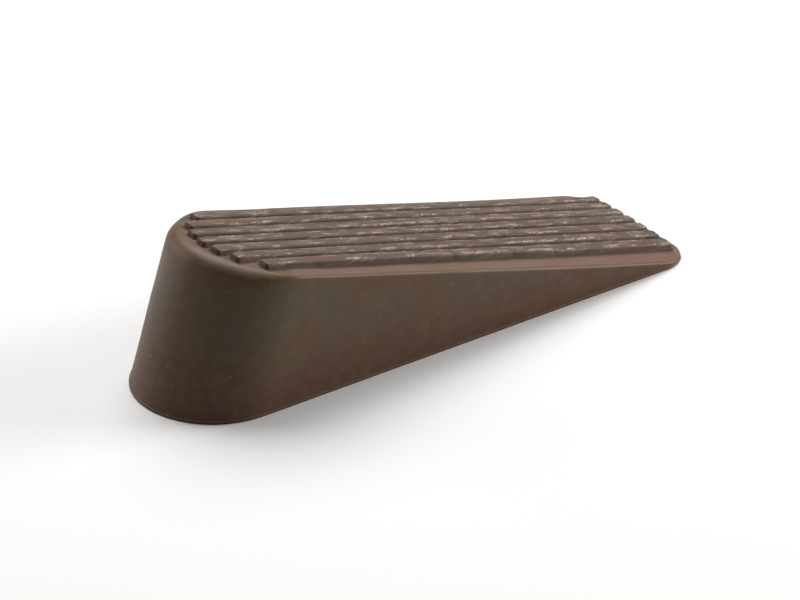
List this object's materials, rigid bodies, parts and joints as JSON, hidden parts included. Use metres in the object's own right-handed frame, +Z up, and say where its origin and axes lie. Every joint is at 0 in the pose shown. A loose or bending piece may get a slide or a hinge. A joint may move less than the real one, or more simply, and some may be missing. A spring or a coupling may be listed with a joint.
{
  "type": "door stop",
  "caption": "Solid rubber door wedge with a round heel, a thin square tip and lengthwise ribs on its sloping top that grip the underside of a door.",
  "frame": {"origin": "centre of the sole, midway along the length and across the width", "axes": "+X from the thick heel to the thin tip, +Y across the width, +Z up from the floor"},
  "size_m": [0.12, 0.0358, 0.0313],
  "materials": {
    "brown_rubber": "satin"
  },
  "bodies": {
    "root": {"rubber_wedge": "brown_rubber"}
  },
  "joints": []
}
